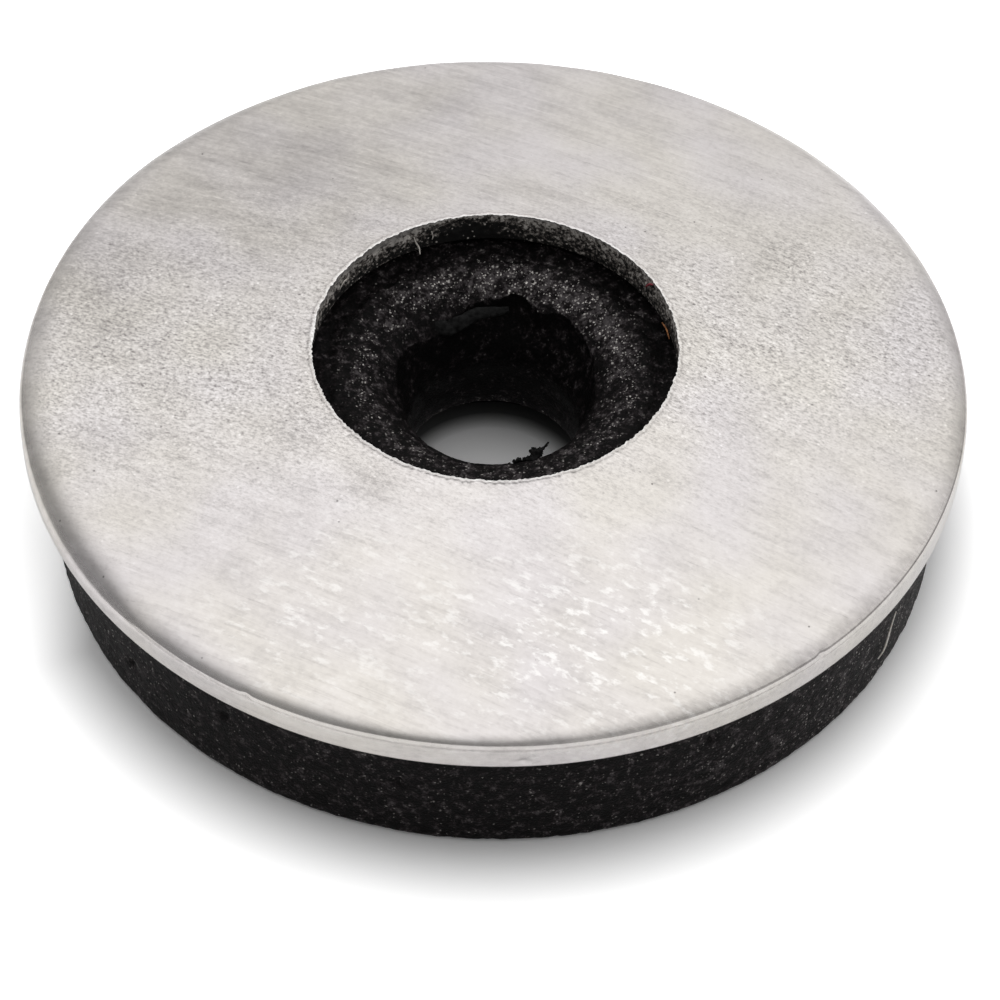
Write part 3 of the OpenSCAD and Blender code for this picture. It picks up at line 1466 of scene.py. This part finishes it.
@dataclass
class TornBits:
    """The sliver of skin and the crumbs that hang at the torn edge of the throat."""

    sliver_half_width: float = 0.125
    sliver_half_thickness: float = 0.03
    sliver_steps: int = 10
    sliver_sides: int = 14
    sliver_route: tuple[Place, ...] = (
        (133.7, 1.93, 2.50), (129.4, 1.81, 2.48), (124.6, 1.67, 2.48), (119.5, 1.58, 2.51),
        (112.2, 1.61, 2.54), (104.2, 1.64, 2.57), (94.4, 1.70, 2.60), (82.5, 1.76, 2.63),
    )
    crumbs: tuple[tuple[Place, float], ...] = (
        ((0.73, -1.66, 2.67), 0.09),
        ((0.68, -1.62, 2.71), 0.055),
        ((0.78, -1.63, 2.70), 0.06),
        ((0.69, -1.76, 2.63), 0.09),
        ((0.60, -1.77, 2.65), 0.055),
        ((0.53, -1.78, 2.65), 0.045),
        ((0.45, -1.80, 2.66), 0.05),
        ((0.38, -1.83, 2.66), 0.04),
        ((0.30, -1.88, 2.64), 0.035),
        ((0.84, -1.78, 2.65), 0.04),
        ((0.89, -1.76, 2.65), 0.035),
    )
    crumb_rings: int = 12
    crumb_sides: int = 18
    hook_radius: float = 0.022
    hook_steps: int = 8
    hook_sides: int = 10
    hook_route: tuple[Place, ...] = (
        (0.74, -1.63, 2.70), (0.79, -1.62, 2.715), (0.83, -1.59, 2.725),
        (0.86, -1.56, 2.735), (0.90, -1.52, 2.75), (0.935, -1.47, 2.77),
    )

    def build_sliver(self) -> bpy.types.Object:
        """Makes the sliver along the far edge of the throat.

        Returns:
            The sliver.
        """
        route = [polar(*station) for station in self.sliver_route]

        def section(share: float, side: int) -> Span:
            """Widens the sliver towards its root and frays its edges.

            Args:
                share: how far along the sliver the section is, from 0 to 1.
                side: the number of the point around the section.

            Returns:
                The half width and half thickness in millimetres.
            """
            blunt = min(1.0, 0.3 + (1 - share) * 6) ** 0.5
            taper = (0.6 + 0.7 * ease(share * 2.5)) * (1 - 0.45 * share) * blunt
            frayed = 1 + 0.5 * lumps(share * 6, side * 0.3, 0.0, 1.0, 3)
            return self.sliver_half_width * taper * frayed, self.sliver_half_thickness * frayed

        def lean(at: Vector) -> Vector:
            """Leans the sliver into the hole."""
            return Vector((-at.x, -at.y, 0.0)).normalized() * 0.8 + Vector((0.0, 0.0, -0.6))

        path = smooth_path(route, self.sliver_steps)
        return swept_mesh("torn_sliver", path, section, self.sliver_sides, lean)

    def build_crumb(self) -> bpy.types.Object:
        """Makes the lumpy crumb on the near edge, with the ragged bits at its foot.

        Returns:
            The crumb.
        """
        rings, sides = self.crumb_rings, self.crumb_sides
        points: list[Vector] = []
        faces: list[Sequence[int]] = []
        for place, radius in self.crumbs:
            centre, start = Vector(place), len(points)
            for ring in range(1, rings):
                lat = math.pi * ring / rings
                for side in range(sides):
                    lon = 2 * math.pi * side / sides
                    wide = math.sin(lat)
                    out = Vector((wide * math.cos(lon), wide * math.sin(lon), math.cos(lat)))
                    size = radius * (1 + 0.7 * lumps(*(out * 1.6 + centre * 9), 1.0, 3))
                    points.append((centre + out * size) * MM)
            points.append((centre + Vector((0, 0, radius))) * MM)
            points.append((centre - Vector((0, 0, radius))) * MM)
            top, bottom = len(points) - 2, len(points) - 1
            last = start + (rings - 2) * sides
            for side in range(sides):
                after = (side + 1) % sides
                for ring in range(rings - 2):
                    low, high = start + ring * sides, start + (ring + 1) * sides
                    faces.append((low + side, high + side, high + after, low + after))
                faces.append((top, start + side, start + after))
                faces.append((bottom, last + after, last + side))
        return mesh_object("torn_crumb", points, faces)

    def build_hook(self) -> bpy.types.Object:
        """Makes the thread of rubber that curls up from the crumb.

        Returns:
            The hook.
        """
        path = smooth_path([Vector(station) for station in self.hook_route], self.hook_steps)

        def section(share: float, side: int) -> Span:
            """Thins the thread towards its tip."""
            lumpy = 1 + 0.3 * lumps(share * 7, side * 0.5, 3.0, 1.0)
            half = self.hook_radius * (1.5 - 0.7 * share) * lumpy
            return half, half

        return swept_mesh("torn_hook", path, section, self.hook_sides, lambda at: Vector((1.0, 0.3, 0.0)))

    def build(self) -> list[bpy.types.Object]:
        """Makes and dresses the torn pieces.

        Returns:
            The sliver, the crumb and the hook.
        """
        pieces = [self.build_sliver(), self.build_crumb(), self.build_hook()]
        skin = TornRubber().build()
        for piece in pieces:
            piece.data.materials.append(skin)
            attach(piece, "root")
        return pieces


@dataclass(frozen=True)
class LintThread:
    """A thread of lint: its route as angles, radii and heights, its thickness and its kind."""

    name: str
    route: tuple[Place, ...]
    radius: float
    lint: Lint
    slot: str
    steps: int = 8
    sides: int = 8

    def build(self) -> bpy.types.Object:
        """Makes and dresses the thread.

        Returns:
            The thread.
        """
        path = smooth_path([polar(*station) for station in self.route], self.steps)

        def section(share: float, side: int) -> Span:
            """Thins the thread at both ends."""
            half = self.radius * (0.55 + 0.45 * math.sin(math.pi * share))
            return half, half

        thread = swept_mesh(self.name, path, section, self.sides, lambda at: Vector((0.5, -0.8, 0.3)))
        thread.data.materials.append(self.lint.value.build())
        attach(thread, "root")
        return thread


LINT_THREADS = (
    LintThread(
        "lint_on_flank",
        (
            (-29.4, 7.73, 1.38), (-30.6, 7.74, 1.12), (-30.9, 7.73, 0.84), (-31.8, 7.74, 0.70),
            (-32.8, 7.72, 0.60),
        ),
        0.016,
        Lint.COTTON,
        "epdm_rubber",
    ),
    LintThread(
        "lint_in_hole",
        ((118.0, 3.07, 3.36), (117.4, 3.06, 3.22), (116.4, 3.05, 3.09), (116.7, 2.97, 3.01)),
        0.016,
        Lint.COTTON,
        "stainless_steel",
    ),
    LintThread(
        "lint_on_wall",
        ((145.9, 3.07, 3.30), (147.2, 3.06, 3.34), (148.5, 3.06, 3.34), (150.2, 3.07, 3.26)),
        0.012,
        Lint.COTTON,
        "stainless_steel",
    ),
    LintThread(
        "lint_below_smear",
        ((111.9, 3.07, 3.38), (111.4, 3.06, 3.27), (111.7, 3.07, 3.17)),
        0.009,
        Lint.COTTON,
        "stainless_steel",
    ),
    LintThread(
        "lint_at_wall",
        ((21.5, 3.06, 3.03), (18.0, 3.07, 3.05), (14.0, 3.06, 3.02)),
        0.016,
        Lint.JUTE,
        "stainless_steel",
    ),
    LintThread(
        "lint_under_burr",
        ((33.4, 3.07, 3.32), (32.2, 3.06, 3.41), (31.0, 3.06, 3.49), (29.6, 3.07, 3.54)),
        0.02,
        Lint.DYED,
        "stainless_steel",
    ),
)


@dataclass(frozen=True)
class Studio:
    """The white table, the light tent over it and the camera at the photograph's angle."""

    table_half: float = 2000.0
    table_z: float = -0.002
    tent_level: float = -0.258
    tent_rise: Place = (0.02, 1.005, 0.872)
    tent_dark: float = 0.30
    tent_white: str = "#FFFFFF"
    card_towards: Place = (0.75, -0.45, 0.48)
    card_edge: Span = (0.6, 0.95)
    card_level: float = 0.30
    softbox_sides: Span = (449.0, 108.0)
    softbox_place: Place = (0.0, 37.8, 145.2)
    softbox_power: float = 0.088
    camera_place: Place = (0.0, -41.255, 46.344)
    camera_pitch_deg: float = 48.557
    camera_yaw_deg: float = 0.222
    camera_roll_deg: float = 1.573
    lens: float = 127.56
    sensor: float = 36.0

    def build_table(self) -> bpy.types.Object:
        """Makes the table.

        Returns:
            The table, which is stage and not part of the washer.
        """
        half, z = self.table_half * MM, self.table_z * MM
        corners = [(-half, -half, z), (half, -half, z), (half, half, z), (-half, half, z)]
        table = mesh_object("table", corners, [(0, 1, 2, 3)])
        table.data.materials.append(WhitePaper().build())
        return table

    def build_tent(self) -> bpy.types.World:
        """Makes the light tent, brightest behind the washer, with a faint card at the front right.

        Returns:
            The world.
        """
        world = bpy.data.worlds.new("light_tent")
        bpy.context.scene.world = world
        world.use_nodes = True
        world.node_tree.nodes.clear()
        add = partial(add_node, world.node_tree)
        ray = add("TexCoord").outputs["Generated"]
        rise = add("VectorMath", [ray, self.tent_rise], operation="DOT_PRODUCT").outputs["Value"]
        level = add("Math", [rise, self.tent_level], operation="ADD")
        level = add("Math", [level, self.tent_dark], operation="MAXIMUM")
        towards = tuple(Vector(self.card_towards).normalized())
        facing = add("VectorMath", [ray, towards], operation="DOT_PRODUCT").outputs["Value"]
        run = [facing, *self.card_edge, 0.0, self.card_level]
        card = add("MapRange", run, interpolation_type="SMOOTHSTEP")
        level = add("Math", [level, card], operation="ADD")
        tent = add("Background", {"Color": linear(self.tent_white), "Strength": level})
        add("OutputWorld", {"Surface": tent})
        return world

    def build_softbox(self) -> bpy.types.Object:
        """Makes the softbox above and behind the washer.

        Returns:
            The lamp.
        """
        lamp = bpy.data.lights.new("softbox", "AREA")
        lamp.shape = "RECTANGLE"
        lamp.size = self.softbox_sides[0] * MM
        lamp.size_y = self.softbox_sides[1] * MM
        lamp.energy = self.softbox_power
        softbox = bpy.data.objects.new("softbox", lamp)
        softbox.location = Vector(self.softbox_place) * MM
        softbox.rotation_euler = (-softbox.location).to_track_quat("-Z", "Y").to_euler()
        bpy.context.scene.collection.objects.link(softbox)
        return softbox

    def build_camera(self) -> bpy.types.Object:
        """Sets the camera where the photograph was taken from.

        Returns:
            The camera.
        """
        data = bpy.data.cameras.new("camera")
        data.lens = self.lens
        data.sensor_width = self.sensor
        data.clip_start = MM
        camera = bpy.data.objects.new("camera", data)
        aim = (
            Matrix.Rotation(math.radians(-self.camera_yaw_deg), 4, "Z")
            @ Matrix.Rotation(math.radians(90 - self.camera_pitch_deg), 4, "X")
            @ Matrix.Rotation(math.radians(self.camera_roll_deg), 4, "Z")
        )
        camera.matrix_world = Matrix.Translation(Vector(self.camera_place) * MM) @ aim
        bpy.context.scene.collection.objects.link(camera)
        bpy.context.scene.camera = camera
        return camera


def main() -> None:
    """Builds the washer piece by piece, then its table, light and camera."""
    logging.basicConfig(level=logging.INFO, format="%(name)s: %(message)s")
    bpy.context.scene.view_settings.view_transform = "Standard"
    sizes = Sizes.from_frame()
    pieces: list[bpy.types.Object] = [MetalDisc(sizes).build(), RubberRing(sizes).build()]
    pieces += TornBits().build()
    pieces += [thread.build() for thread in LINT_THREADS]
    for piece in pieces:
        LOG.info("%s has %d faces", piece.name, len(piece.data.polygons))
    studio = Studio()
    studio.build_table()
    studio.build_tent()
    studio.build_softbox()
    studio.build_camera()


if __name__ == "__main__":
    main()
